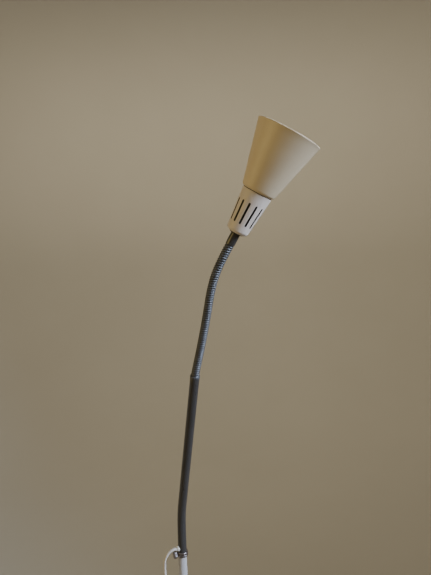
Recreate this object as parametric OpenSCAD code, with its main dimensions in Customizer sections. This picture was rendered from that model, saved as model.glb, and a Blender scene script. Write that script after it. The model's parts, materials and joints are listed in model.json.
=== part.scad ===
// Slim floor lamp: weighted round base, thin pole, bent swivelling arm, gooseneck and a small cone shade.
// Millimetres, +Z up. The origin is the centre of the base's underside.
// The arm, the gooseneck and the head are drawn in the pose that they rest in.

/* [Base] */
// Outer diameter of the base cover
base_d = 230; // [200:5:260]
// Height of the base cover at its middle
base_h = 23; // [21:1:30]
// Thickness of the soft pad under the base
pad_t = 2; // [1.5:0.5:3]

/* [Pole] */
// Outside diameter of the pole and of the arm tube
tube_od = 12.8; // [12.6:0.1:13]
// Height of the top of the pole, where the arm starts
pole_top = 901; // [700:1:1000]

/* [Arm] */
// Height of the arm's bend above the top of the pole
knee_up = 61; // [50:1:90]
// How far the arm's upper part leans from the pole
arm_bend = 19.5; // [5:0.5:30]
// Radius of the bend, at the tube's middle
bend_r = 120; // [80:5:140]
// Length of the arm above the bend
arm_len = 234; // [150:1:300]
// Direction that the arm leans in, from +X towards +Y
arm_turn = -67; // [-180:1:180]

/* [Gooseneck] */
// Outside diameter of the gooseneck
goose_d = 11.2; // [11:0.1:11.4]
// Length of one link of the gooseneck
link_len = 23.5; // [20:0.5:28]
// Lean of the links towards the front
front_lean = 18; // [0:1:25]

/* [Head] */
// Lean of the head towards +X
head_side = 30; // [10:1:40]
// Outside diameter of the shade's mouth
mouth_d = 78; // [70:1:90]
// Outside diameter of the shade's lower lip
lip_d = 42.8; // [41:0.2:44]
// Length of the shade from lip to mouth
shade_len = 74; // [66:1:90]
// Length of the slotted socket cover
cover_len = 53; // [50:1:58]
// Number of cooling slots around the socket cover
slot_count = 12; // [8:1:16]

/* [Lead] */
// Width of the flat mains lead
lead_w = 5.2; // [4.8:0.1:5.4]
// Thickness of the flat mains lead
lead_t = 3.2; // [2.8:0.1:3.4]
// Direction in which the lead leaves the arm, from +X towards +Y
lead_turn = 205; // [180:1:230]

/* [Hidden] */
$fn = 64;

// Tubes and fits
tube_wall = 1;
tube_r = tube_od / 2;
bore_r = tube_r - tube_wall;
slip = 0.1;
run_fit = 0.07;
cut = 1;

// Base
cover_t = 1.2;
cover_r = base_d / 2;
cover_edge = 9;
cover_round = 8;
weight_r = cover_r - 15;
weight_top = pad_t + 12;
hub_r = 22;
well_r = 15;
well_top = pad_t + 9;
stud_r = 4.9;
nut_h = 5;
washer_t = 2;

// Pole
joint_z = 460;
joint_ring = 2;
joint_deep = 30;
foot_h = 17;

// Swivel at the top of the pole
collar_z = pole_top - 1;
collar_h = 7.5;
collar_r = 8.5;
bush_t = 1.1;
arm_z = pole_top + 1.5;
pin_r = 4;
pin_low = pole_top - 41;
pin_head = 5.6;
screw_z = collar_z + 3.9;
screw_r = 2;
knob_r = 5;
knob_t = 4.7;
lead_z = pole_top + 11.3;
grommet_r = 4.1;

// Arm
knee = [0, 0, pole_top + knee_up];
bend_in = bend_r * tan(arm_bend / 2);
arm_dir = from_polar(arm_bend, arm_turn);
arm_end = knee + arm_len * arm_dir;
ferrule_deep = 16;
ferrule_rim = 3;

// Gooseneck: the lean of each link towards +X, from the arm to the head
side_leans = [14, 13.5, 12.5, 11.5, 11, 17, 27];
link_count = len(side_leans);
goose_r = goose_d / 2;
first_pivot = 6;
ball_gap = 0.3;
goose_bore = 2.5;
rib_pitch = 3.1;
rib_r = 0.7;
rib_deep = 0.35;
spigot_r = 4.5;

// Head, measured along its axis from the last pivot of the gooseneck
tip_len = 17.5;
spigot_len = 11;
neck_at = 34;
lip_at = neck_at + cover_len;
ferrule_r = 5.8;
ferrule_top = neck_at + 13;
cap_r = 9.8;
cap_t = 1.2;
cover_low_r = 13.7;
cover_top_r = 18.6;
cover_wall = 1;
cover_corner = 5;
slot_w = 2.4;
slot_len = 27;
slot_up = 12.2;
slot_turn = 20.5;
sheet_t = 0.8;
lip_round = 3.2;
bead_r = 0.8;
holder_r = 11;
skirt_r = 13.9;
flange_r = 16.4;
holder_low = neck_at + 7;
recess_low = neck_at + 30;
holder_top = lip_at + 6;
shell_r = 7.6;
cap_thread_r = 6.9;
bulb_r = 19.5;
glass_at = lip_at - 1;

// Lead, switch and plug
lead_out = [cos(lead_turn), sin(lead_turn), 0];
lead_side = [-sin(lead_turn), cos(lead_turn), 0];
up = [0, 0, 1];
switch_z = 545;
switch_half = 32;
switch_w = 24;
switch_t = 16;
switch_at = 27.5;
sleeve_len = 20;
sleeve_mid = switch_half + sleeve_len / 2;
sleeve_low_r = 5;
sleeve_top_r = 3.7;
rocker_r = 8;
rocker_w = 9;
rocker_out = 3.4;
rocker_tilt = 6;
rocker_gap = 0.4;
coil_mid = [-164, -8];
coil_r = 28.5;
turn_gap = 5.4;
coil_cols = 3;
coil_rows = 2;
coil_low = 0.7;
tie_t = 0.6;
tie_w = 9;
tie_in_w = coil_cols * turn_gap + 1.6;
tie_in_h = coil_rows * turn_gap + 0.2;
plug_at = [-192.4, 69, 6.9];
plug_len = 36;
plug_h = 13.7;
plug_w = 30;
plug_neck_w = 13;
plug_sleeve_len = 22;
plug_sleeve_r = 5.2;
pin_len = 19;
pin_half = 9.3;
pin_tip = 1.5;
plug_pin_r = 2;

// Route of the lead as [outwards from the pole, sideways, up]: first from the arm to the switch,
// then from the switch over the base to the floor
upper_route = [[9.7, 0, 912.3], [12.7, 0, 912.7], [16.2, 0, 912.4], [20.2, 0, 910.7], [23.8, 0, 907.6],
    [26.4, 0, 903.6], [27.9, 0, 899], [28.4, 0, 893], [28.3, 0, 884], [28.1, 0, 870],
    [27.9, 0.5, 840], [28.2, 1.5, 790], [28.8, 1, 730], [28.4, -0.5, 670], [27.6, -0.5, 620],
    [27.5, 0, 597]];
fall_route = [[27.5, 0, 493], [27.6, 0, 476], [28.4, 1, 420], [29, 2, 340], [28.8, 1.5, 260],
    [28.4, 0.5, 180], [28.6, 0, 120], [30.5, 0, 84], [36, 0, 56], [46, 0, 36], [59, 0, 25.5],
    [72, 0, 21.8], [90, 0, 20.3], [104, 0, 19.4], [113.3, 0, 17.3], [121.3, 0, 11.9], [129, 0, 6.4],
    [137, 0, 3.3], [147, 0, 2.4]];
// The same lead on the floor, as [x, y, z], up to the coil
floor_route = [[-144, -66, 2.3], [-158, -69.5, 2.6], [-174, -68, 2.9], [-189, -60, 3.1],
    [-200, -46, 3.3], [-205, -29, 3.4], [-203, -11, 3.5]];
tail_route = [[-200.2, -8, 9], [-200.5, 6, 7.7], [-199.2, 18, 5.6], [-196.4, 30, 4.9],
    [-193.6, 40, 6], [-192.4, 47, 6.8]];

// ---------------------------------------------------------------- directions and places

function from_polar(tilt, turn) = [sin(tilt) * cos(turn), sin(tilt) * sin(turn), cos(tilt)];
function unit(v) = v / norm(v);
function lean(side) = unit([tan(side), -tan(front_lean), 1]);
function link_dir(i) = lean(side_leans[i]);
function pivot(i) = i == 0 ? arm_end + first_pivot * arm_dir : pivot(i - 1) + link_len * link_dir(i - 1);
head_dir = lean(head_side);
head_at = pivot(link_count);

function heading(p, i) = unit(p[min(i + 1, len(p) - 1)] - p[max(i - 1, 0)]);
function square_to(v, along) = unit(v - (v * along) * along);
// Triangles over a row of rings, and a fan of triangles on each end
function tube_faces(count, sides) = concat(
    [for (i = [0:count - 2], k = [0:sides - 1], half = [0, 1])
        let (a = i * sides + k, b = i * sides + (k + 1) % sides)
        half == 0 ? [a, b + sides, b] : [a, a + sides, b + sides]],
    [for (k = [1:sides - 2]) [0, k, k + 1]],
    [for (k = [1:sides - 2]) (count - 1) * sides * [1, 1, 1] + [0, k + 1, k]]);

// Puts its children's origin at a point and their +Z along a direction
module stand_on(point, dir)
    translate(point)
        rotate([0, acos(dir[2]), atan2(dir[1], dir[0])])
            children();

module on_head(along = 0)
    stand_on(head_at + along * head_dir, head_dir)
        children();

// Looks outwards along the lead's direction: +Z points away from the pole
module at_side(height)
    translate([0, 0, height])
        rotate([0, 0, lead_turn])
            rotate([0, 90, 0])
                children();

module ring(outer, inner, height)
    difference() {
        cylinder(r = outer, h = height);
        translate([0, 0, -cut])
            cylinder(r = inner, h = height + 2 * cut);
    }

function arc(middle, radius, from, to, steps = 8) =
    [for (i = [0:steps]) middle + radius * [cos(from + (to - from) * i / steps),
        sin(from + (to - from) * i / steps)]];

// ---------------------------------------------------------------- base

function cover_outline(inset) = concat(
    [[cover_r - inset, pad_t]],
    arc([cover_r - cover_round, cover_edge], cover_round - inset, 0, 90, 6),
    [[hub_r - 8, base_h - inset]]);

module base_pad()
    color("dimgray")
        cylinder(r = cover_r - 2, h = pad_t - 0.05);

module base_weight()
    color("dimgray")
        difference() {
            union() {
                translate([0, 0, pad_t])
                    cylinder(r = weight_r, h = weight_top - pad_t);
                translate([0, 0, weight_top - cut])
                    cylinder(r = hub_r - 9, h = base_h - cover_t - weight_top + cut - 0.05);
            }
            translate([0, 0, pad_t - cut])
                cylinder(r = well_r, h = well_top - pad_t + cut);
            translate([0, 0, pad_t])
                cylinder(r = stud_r + slip, h = base_h);
        }

module base_cover()
    color("ivory")
        rotate_extrude($fn = 96)
            polygon(concat([[stud_r + slip, base_h]],
                [for (i = [len(cover_outline(0)) - 1:-1:0]) cover_outline(0)[i]],
                cover_outline(cover_t),
                [[stud_r + slip, base_h - cover_t]]));

module base_washer()
    color("silver")
        translate([0, 0, well_top - washer_t])
            ring(10.5, stud_r + slip, washer_t);

module base_nut()
    color("silver")
        translate([0, 0, well_top - washer_t - nut_h])
            difference() {
                cylinder(r = 9.8, h = nut_h, $fn = 6);
                translate([0, 0, -cut])
                    cylinder(r = stud_r + 0.02, h = nut_h + 2 * cut);
            }

module base_stud()
    color("silver")
        translate([0, 0, well_top - washer_t - nut_h + 0.5])
            cylinder(r = stud_r, h = 60);

module foot_collar()
    color("ivory")
        translate([0, 0, base_h + 0.05])
            rotate_extrude()
                polygon([[tube_r + slip, 0], [12.5, 0], [12.5, 3], [9.5, 5.5], [8.2, 9],
                    [8.2, foot_h - 1], [7.4, foot_h], [tube_r + slip, foot_h]]);

// ---------------------------------------------------------------- pole

module pole_lower()
    color("ivory")
        translate([0, 0, base_h + 0.05])
            ring(tube_r, bore_r, joint_z - joint_ring / 2 - base_h - 0.05);

module pole_joint()
    color("silver")
        translate([0, 0, joint_z]) {
            translate([0, 0, -joint_deep])
                cylinder(r = bore_r - slip, h = 2 * joint_deep);
            translate([0, 0, -joint_ring / 2])
                cylinder(r = tube_r, h = joint_ring);
        }

module pole_upper()
    color("ivory")
        translate([0, 0, joint_z + joint_ring / 2])
            ring(tube_r, bore_r, pole_top - joint_z - joint_ring / 2);

module pole_bush()
    color("black")
        difference() {
            union() {
                translate([0, 0, pole_top - 26])
                    cylinder(r = bore_r - slip, h = 26);
                translate([0, 0, pole_top])
                    cylinder(r = tube_r, h = bush_t);
            }
            translate([0, 0, pole_top - 26 - cut])
                cylinder(r = pin_r + run_fit, h = 26 + bush_t + 2 * cut);
        }

// Plated collar: two beads with a groove between them
module pole_collar()
    color("silver")
        difference() {
            translate([0, 0, collar_z])
                rotate_extrude()
                    polygon([[tube_r + slip, 0], [7.4, 0], [7.4, 0.7], [collar_r - 0.6, 0.9],
                        [collar_r, 1.6], [collar_r, 2.8], [collar_r - 0.9, 3.4], [collar_r - 0.9, 4.1],
                        [collar_r, 4.7], [collar_r, 6.4], [collar_r - 0.8, collar_h],
                        [tube_r + slip, collar_h]]);
            at_side(screw_z)
                translate([0, 0, tube_r - cut])
                    cylinder(r = screw_r + 0.02, h = collar_r);
        }

module lock_screw()
    color("silver")
        at_side(screw_z) {
            translate([0, 0, tube_r + 0.35])
                cylinder(r = screw_r, h = 3);
            translate([0, 0, collar_r + 0.4])
                difference() {
                    cylinder(r = knob_r, h = knob_t);
                    for (i = [0:17])
                        rotate([0, 0, i * 20])
                            translate([knob_r + 0.25, 0, -cut])
                                cylinder(r = 0.6, h = knob_t + 2 * cut, $fn = 24);
                }
        }

// ---------------------------------------------------------------- arm

// The arm's middle line: straight, bent, straight
bend_steps = 7;
function arm_point(a) = from_polar(90, arm_turn) * bend_r * (1 - cos(a))
    + [0, 0, knee[2] - bend_in + bend_r * sin(a)];
function arm_line(from_z, to_len) = concat(
    [[0, 0, from_z]],
    [for (i = [0:bend_steps]) arm_point(arm_bend * i / bend_steps)],
    [knee + to_len * arm_dir]);

// A round rod swept along points
module swept_rod(points, radius, sides) {
    side = from_polar(90, arm_turn + 90);
    count = len(points);
    rings = [for (i = [0:count - 1])
        let (along = heading(points, i), u = square_to(side, along), v = cross(along, u))
        for (k = [0:sides - 1])
            points[i] + radius * (cos(360 * k / sides) * u + sin(360 * k / sides) * v)];
    polyhedron(points = rings, faces = tube_faces(count, sides), convexity = 6);
}

arm_sides = 32;

module arm_tube()
    color("dimgray")
        difference() {
            swept_rod(arm_line(arm_z, arm_len), tube_r, arm_sides);
            swept_rod(arm_line(arm_z - cut, arm_len + cut), bore_r / cos(180 / arm_sides), arm_sides);
            at_side(lead_z)
                cylinder(r = 3.3, h = 2 * tube_r);
        }

module arm_pin()
    color("silver") {
        translate([0, 0, pin_low])
            cylinder(r = pin_r, h = arm_z - pin_low + 1);
        translate([0, 0, arm_z])
            cylinder(r = bore_r - 0.03, h = pin_head);
    }

module flat_hole(width, thick, deep)
    linear_extrude(deep) {
        square([thick, width - thick], center = true);
        for (s = [-1, 1])
            translate([0, s * (width - thick) / 2])
                circle(d = thick);
    }

module cord_grommet()
    color("white")
        difference() {
            at_side(lead_z) {
                translate([0, 0, bore_r + 0.1])
                    cylinder(r = 3.2, h = 2);
                translate([0, 0, tube_r - 2])
                    cylinder(r = grommet_r, h = 3.5);
                translate([0, 0, tube_r + 1.4])
                    cylinder(r1 = 3.6, r2 = 3.1, h = 1.2);
            }
            difference() {
                translate([0, 0, lead_z - 8])
                    cylinder(r = tube_r + 0.02, h = 16);
                at_side(lead_z)
                    cylinder(r = 3.2, h = 2 * tube_r);
            }
            at_side(lead_z)
                flat_hole(lead_w + 0.2, lead_t + 0.2, 12);
        }

// The lead inside the arm: in through the grommet, round a tight elbow and up the tube
elbow_r = 5;
elbow_steps = 5;
module arm_lead()
    color("white")
        swept_rod(concat(
            [(tube_r + 2.5) * lead_out + [0, 0, lead_z]],
            [for (i = [0:elbow_steps])
                elbow_r * (1 - sin(90 * i / elbow_steps)) * lead_out
                    + [0, 0, lead_z + elbow_r * (1 - cos(90 * i / elbow_steps))]],
            [for (i = [1:bend_steps + 2])
                arm_line(arm_z, arm_len - ferrule_deep - 2)[i]]),
            lead_t / 2, 8);

module arm_ferrule()
    color("silver")
        stand_on(arm_end, arm_dir)
            difference() {
                union() {
                    translate([0, 0, -ferrule_deep])
                        cylinder(r = bore_r - 0.03, h = ferrule_deep + 0.5);
                    cylinder(r = tube_r + 0.25, h = ferrule_rim);
                }
                translate([0, 0, -8])
                    cylinder(r = spigot_r + 0.02, h = 20);
                translate([0, 0, -ferrule_deep - cut])
                    cylinder(r = goose_bore, h = 20);
            }

// ---------------------------------------------------------------- gooseneck

// Shallow grooves that mark the windings of the gooseneck
module ribs(from, to)
    for (i = [0:floor((to - from) / rib_pitch)])
        translate([0, 0, from + i * rib_pitch])
            rotate_extrude()
                translate([goose_r + rib_r - rib_deep, 0])
                    circle(r = rib_r, $fn = 24);

// A stretch of gooseneck between two pivots: a cup over the lower ball, and its own ball on top
module goose_link()
    color("gray")
        difference() {
            union() {
                cylinder(r = goose_r, h = link_len);
                translate([0, 0, link_len])
                    sphere(r = goose_r);
            }
            sphere(r = goose_r + ball_gap);
            translate([0, 0, -cut])
                cylinder(r = goose_bore, h = link_len + goose_r + 2 * cut);
            ribs(rib_pitch, link_len - rib_pitch / 2);
        }

module numbered_link(i)
    stand_on(pivot(i - 1), link_dir(i - 1))
        goose_link();

module gooseneck_foot()
    color("gray")
        stand_on(arm_end, arm_dir)
            difference() {
                union() {
                    translate([0, 0, -7.9])
                        cylinder(r = spigot_r, h = 12);
                    translate([0, 0, ferrule_rim + 0.05])
                        cylinder(r = goose_r, h = first_pivot - ferrule_rim - 0.05);
                    translate([0, 0, first_pivot])
                        intersection() {
                            sphere(r = goose_r);
                            translate([0, 0, ferrule_rim + 0.05 - first_pivot])
                                cylinder(r = goose_r + cut, h = 2 * goose_r);
                        }
                }
                translate([0, 0, -9])
                    cylinder(r = goose_bore, h = 30);
            }

module gooseneck_tip()
    color("gray")
        on_head()
            difference() {
                union() {
                    cylinder(r = goose_r, h = tip_len - 0.05);
                    cylinder(r = spigot_r, h = tip_len + spigot_len);
                }
                sphere(r = goose_r + ball_gap);
                translate([0, 0, -cut])
                    cylinder(r = goose_bore, h = 40);
                ribs(rib_pitch, tip_len - 1.5);
            }

// ---------------------------------------------------------------- head

module head_ferrule()
    color("dimgray")
        on_head(tip_len)
            difference() {
                cylinder(r = ferrule_r, h = ferrule_top - tip_len);
                translate([0, 0, -cut])
                    cylinder(r = spigot_r + 0.02, h = spigot_len + cut + 0.2);
                cylinder(r = goose_bore + 0.4, h = ferrule_top);
            }

module head_nut()
    color("silver")
        on_head(neck_at + 2.6)
            difference() {
                cylinder(r = 9, h = 3.4, $fn = 6);
                translate([0, 0, -cut])
                    cylinder(r = ferrule_r + 0.02, h = 6);
            }

module neck_cap()
    color("black")
        on_head(neck_at - cap_t)
            rotate_extrude()
                polygon([[ferrule_r + 0.1, 0], [cap_r - 0.8, 0], [cap_r, 0.6], [cap_r, cap_t - 0.05],
                    [ferrule_r + 0.1, cap_t - 0.05]]);

module socket_cover()
    color("ivory")
        on_head(neck_at)
            difference() {
                rotate_extrude($fn = 96)
                    polygon(concat([[ferrule_r + 0.2, 0]],
                        arc([cover_low_r + 0.2 - cover_corner, cover_corner], cover_corner, -90, -5, 5),
                        [[cover_top_r, cover_len - 0.05], [cover_top_r - cover_wall, cover_len - 0.05],
                            [cover_low_r - cover_wall + 0.2, cover_corner],
                            [cover_low_r - 3.4, 2.5], [ferrule_r + 0.2, 2.5]]));
                for (i = [0:slot_count - 1])
                    rotate([0, 0, slot_turn + i * 360 / slot_count])
                        translate([cover_low_r - 5, -slot_w / 2, slot_up])
                            cube([12, slot_w, slot_len]);
            }

// Socket body: base, barrel, and a threaded skirt that carries the shade
module lampholder()
    color("dimgray")
        on_head()
            rotate_extrude()
                polygon([[ferrule_r + 0.05, holder_low], [holder_r - 1, holder_low],
                    [holder_r, holder_low + 1], [holder_r, lip_at - 16], [skirt_r, lip_at - 14],
                    [skirt_r, lip_at - 4], [flange_r, lip_at - 3], [flange_r, lip_at - 0.05],
                    [skirt_r, lip_at - 0.05], [skirt_r, holder_top - 0.5],
                    [skirt_r - 0.5, holder_top], [shell_r + 0.5, holder_top],
                    [shell_r + 0.1, holder_top - 1], [shell_r + 0.1, recess_low],
                    [4, recess_low], [4, ferrule_top + 6], [ferrule_r + 0.05, ferrule_top + 0.2]]);

module thread_shell()
    color("gold")
        on_head(recess_low + 3)
            ring(shell_r, cap_thread_r + 0.2, lip_at - recess_low - 3);

module centre_contact()
    color("gold")
        on_head(recess_low + 0.05)
            difference() {
                translate([-6.5, -2, 0])
                    cube([11, 4, 0.6]);
                translate([-5, 0, -cut])
                    cylinder(r = 0.8, h = 3, $fn = 24);
            }

module terminal_screws()
    color("silver")
        on_head(ferrule_top + 7)
            for (s = [-1, 1])
                translate([s * 1.9, 0, 0])
                    cylinder(r = 1.5, h = 8, $fn = 24);

module head_wires()
    color("white")
        on_head(tip_len + spigot_len + 1)
            for (s = [-1, 1])
                translate([s * 1.3, 0, 0])
                    cylinder(r = 1.05, h = ferrule_top + 5.5 - tip_len - spigot_len - 1, $fn = 24);

lip_r = lip_d / 2;
mouth_r = mouth_d / 2;

module shade()
    color("ivory")
        on_head(lip_at)
            rotate_extrude($fn = 96)
                polygon(concat([[skirt_r + 0.2, 0]],
                    arc([lip_r - lip_round, lip_round], lip_round, -90, -14, 5),
                    [[mouth_r - 0.4, shade_len - 2]],
                    arc([mouth_r - bead_r, shade_len - bead_r], bead_r, -10, 190, 8),
                    [[mouth_r - 0.6 - 1.4 * sheet_t, shade_len - 2]],
                    [[lip_r - sheet_t, lip_round], [lip_r - lip_round, sheet_t],
                        [skirt_r + 0.2, sheet_t]]));

module shade_ring()
    color("dimgray")
        on_head(lip_at + sheet_t + 0.05)
            difference() {
                ring(17.4, skirt_r + 0.05, 4.4);
                for (i = [0:23])
                    rotate([0, 0, i * 15])
                        translate([17.7, 0, -cut])
                            cylinder(r = 0.8, h = 8, $fn = 24);
            }

module bulb_glass()
    color("white")
        on_head(glass_at)
            rotate_extrude()
                polygon(concat([[0, 0], [6.6, 0], [7.4, 4], [9.4, 10], [14, 17], [18.2, 24], [bulb_r, 29]],
                    arc([bulb_r - 3, 33], 3, 0, 70, 4),
                    [[10, 37.8], [5, 38.8], [0, 39.2]]));

module bulb_cap()
    color("silver")
        on_head(recess_low + 4.5)
            cylinder(r = cap_thread_r, h = glass_at - recess_low - 4.55);

module bulb_tip()
    color("dimgray")
        on_head(recess_low + 0.8)
            cylinder(r1 = 2.3, r2 = 5.5, h = 3.6);

// ---------------------------------------------------------------- lead

function out_of_pole(p) = p[0] * lead_out + p[1] * lead_side + [0, 0, p[2]];
function spline_point(a, b, c, d, t) = 0.5 * (2 * b + (c - a) * t + (2 * a - 5 * b + 4 * c - d) * t * t
    + (3 * b - a - 3 * c + d) * t * t * t);
function smooth(p, steps) = concat(
    [for (i = [0:len(p) - 2], k = [0:steps - 1])
        spline_point(p[max(i - 1, 0)], p[i], p[i + 1], p[min(i + 2, len(p) - 1)], k / steps)],
    [p[len(p) - 1]]);
// How far the lead has turned onto its edge, from 0 to 1
function edge_share(x) = x > -140 ? 0 : min((-140 - x) / 55, 1);
function wide_way(point) = (1 - edge_share(point[0])) * lead_side + edge_share(point[0]) * up;

// A flat lead along its points: eight-sided rings, with their wide side along a chosen direction
module flat_lead(points, wide, sides = 8) {
    count = len(points);
    rings = [for (i = [0:count - 1])
        let (along = heading(points, i), w = square_to(wide[i], along), t = cross(along, w))
        for (k = [0:sides - 1])
            points[i] + lead_w / 2 * cos(360 * (k + 0.5) / sides) * w
                + lead_t / 2 * sin(360 * (k + 0.5) / sides) * t];
    polyhedron(points = rings, faces = tube_faces(count, sides), convexity = 6);
}

module lead_upper() {
    points = smooth([for (p = upper_route) out_of_pole(p)], 2);
    color("white")
        flat_lead(points, [for (p = points) lead_side]);
}

module lead_lower() {
    points = smooth(concat([for (p = fall_route) out_of_pole(p)], floor_route), 2);
    color("white")
        flat_lead(points, [for (p = points) wide_way(p)]);
}

module lead_coil()
    color("white")
        translate([coil_mid[0], coil_mid[1], coil_low])
            ring(coil_r + coil_cols * turn_gap / 2, coil_r - coil_cols * turn_gap / 2,
                coil_rows * turn_gap);

module coil_tie()
    color("black")
        translate([coil_mid[0] + coil_r, coil_mid[1], 0])
            difference() {
                translate([-tie_in_w / 2 - tie_t, -tie_w / 2, 0])
                    cube([tie_in_w + 2 * tie_t, tie_w, tie_in_h + 2 * tie_t]);
                translate([-tie_in_w / 2, -tie_w, tie_t])
                    cube([tie_in_w, 2 * tie_w, tie_in_h]);
            }

module lead_tail() {
    points = smooth(tail_route, 2);
    last = len(points) - 1;
    color("white")
        flat_lead(points, [for (i = [0:last]) (1 - i / last) * up + i / last * [1, 0, 0]]);
}

// ---------------------------------------------------------------- switch on the lead

// Switch coordinates: X outwards from the pole, Y sideways, Z up, origin at the middle
module at_switch()
    translate(out_of_pole([switch_at, 0, switch_z]))
        rotate([0, 0, lead_turn])
            children();

module round_block(length, width, thick, corner)
    rotate([0, 90, 0])
        linear_extrude(thick) {
            square([length - 2 * corner, width], center = true);
            square([length, width - 2 * corner], center = true);
            for (a = [-1, 1], b = [-1, 1])
                translate([a * (length / 2 - corner), b * (width / 2 - corner)])
                    circle(r = corner);
        }

module switch_half(front) {
    lead_hole = lead_t + 0.3;
    difference() {
        translate([front ? 0.05 : -switch_t / 2, 0, 0])
            round_block(2 * switch_half, switch_w, switch_t / 2 - 0.05, 7);
        translate([front ? -cut : -switch_t / 2 + 2, 0, 0])
            round_block(2 * switch_half - 5, switch_w - 5, switch_t / 2 - 2 + cut, 5);
        for (s = [-1, 1])
            translate([-lead_hole / 2, -lead_w / 2 - 0.2, s * switch_half - 8])
                cube([lead_hole, lead_w + 0.4, 16]);
        children();
    }
}

module switch_back()
    color("white")
        at_switch()
            switch_half(false)
                for (s = [-1, 1])
                    translate([-switch_t / 2 - cut, 0, s * 24])
                        rotate([0, 90, 0])
                            cylinder(r = 2.3, h = 4);

module switch_front()
    color("white")
        at_switch() {
            switch_half(true)
                translate([0, -rocker_w / 2 - rocker_gap, -rocker_r - rocker_gap])
                    cube([20, rocker_w + 2 * rocker_gap, 2 * (rocker_r + rocker_gap)]);
            for (s = [-1, 1])
                translate([2.2, s * (rocker_w / 2 + rocker_gap + 1.1), 0])
                    difference() {
                        translate([0, -1, -3])
                            cube([4.4, 2, 6]);
                        translate([rocker_out - 1, 3, 0])
                            rotate([90, 0, 0])
                                cylinder(r = 1.1, h = 6, $fn = 24);
                    }
        }

module switch_rocker()
    color("gainsboro")
        at_switch()
            translate([rocker_out + 1.2, 0, 0])
                rotate([90, 0, 0])
                    rotate([0, 0, rocker_tilt]) {
                        translate([0, 0, -rocker_w / 2])
                            linear_extrude(rocker_w)
                                intersection() {
                                    circle(r = rocker_r);
                                    polygon([[-1.6, -9], [5.4, -9], [4.2, 0], [5.4, 9], [-1.6, 9]]);
                                }
                        translate([0, 0, -rocker_w / 2 - 2])
                            cylinder(r = 1, h = rocker_w + 4, $fn = 24);
                    }

module switch_screws()
    color("silver")
        at_switch()
            for (s = [-1, 1])
                translate([-switch_t / 2 + 0.4, 0, s * 24])
                    rotate([0, 90, 0])
                        difference() {
                            cylinder(r = 2.1, h = 6);
                            translate([-0.4, -3, -cut])
                                cube([0.8, 6, cut + 0.7]);
                        }

module switch_contacts()
    color("gold")
        at_switch()
            for (s = [-1, 1])
                translate([-4.5, s * 4 - 1, -14])
                    cube([1.2, 2, 28]);

module switch_sleeves()
    color("white")
        at_switch()
            for (s = [-1, 1])
                difference() {
                    translate([0, 0, s * (switch_half + 0.05)])
                        rotate([s > 0 ? 0 : 180, 0, 0])
                            cylinder(r1 = sleeve_low_r, r2 = sleeve_top_r, h = sleeve_len - 0.1);
                    translate([-lead_t / 2 - 0.15, -lead_w / 2 - 0.15, s * sleeve_mid - sleeve_len])
                        cube([lead_t + 0.3, lead_w + 0.3, 2 * sleeve_len]);
                }

// ---------------------------------------------------------------- plug

// Plug coordinates: +Y from the lead to the pins
module at_plug()
    translate(plug_at)
        children();

module plug_body()
    color("white")
        at_plug()
            translate([0, 0, -plug_h / 2])
                linear_extrude(plug_h)
                    polygon([[-plug_neck_w / 2, 0], [plug_neck_w / 2, 0], [plug_neck_w / 2 + 2, 6],
                        [plug_w / 2, 20], [plug_w / 2, plug_len - 3], [plug_w / 2 - 3, plug_len],
                        [3 - plug_w / 2, plug_len], [-plug_w / 2, plug_len - 3], [-plug_w / 2, 20],
                        [-plug_neck_w / 2 - 2, 6]]);

module plug_sleeve()
    color("white")
        at_plug()
            rotate([90, 0, 0])
                difference() {
                    translate([0, 0, 0.05])
                        cylinder(r1 = plug_sleeve_r, r2 = sleeve_top_r, h = plug_sleeve_len - 0.1);
                    translate([-lead_w / 2 - 0.1, -lead_t / 2 - 0.1, -cut])
                        cube([lead_w + 0.2, lead_t + 0.2, plug_sleeve_len + 2 * cut]);
                }

module plug_pins()
    color("silver")
        at_plug()
            for (s = [-1, 1])
                translate([s * pin_half, plug_len + 0.02, 0])
                    rotate([-90, 0, 0]) {
                        cylinder(r = plug_pin_r, h = pin_len - pin_tip);
                        translate([0, 0, pin_len - pin_tip])
                            cylinder(r1 = plug_pin_r, r2 = plug_pin_r / 2, h = pin_tip);
                    }

// ---------------------------------------------------------------- nodes

base_pad();
base_weight();
base_cover();
base_washer();
base_nut();
base_stud();
foot_collar();
pole_lower();
pole_joint();
pole_upper();
pole_bush();
pole_collar();
lock_screw();
arm_pin();
arm_tube();
cord_grommet();
arm_lead();
arm_ferrule();
gooseneck_foot();
numbered_link(1);  // gooseneck_link_1
numbered_link(2);  // gooseneck_link_2
numbered_link(3);  // gooseneck_link_3
numbered_link(4);  // gooseneck_link_4
numbered_link(5);  // gooseneck_link_5
numbered_link(6);  // gooseneck_link_6
numbered_link(7);  // gooseneck_link_7
gooseneck_tip();
head_ferrule();
head_nut();
neck_cap();
socket_cover();
lampholder();
thread_shell();
centre_contact();
terminal_screws();
head_wires();
shade();
shade_ring();
bulb_glass();
bulb_cap();
bulb_tip();
lead_upper();
switch_back();
switch_front();
switch_rocker();
switch_screws();
switch_contacts();
switch_sleeves();
lead_lower();
lead_coil();
coil_tie();
lead_tail();
plug_sleeve();
plug_body();
plug_pins();
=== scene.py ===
import json
import math

import bmesh
import bpy
import numpy as np
from mathutils import Matrix, Vector


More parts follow.
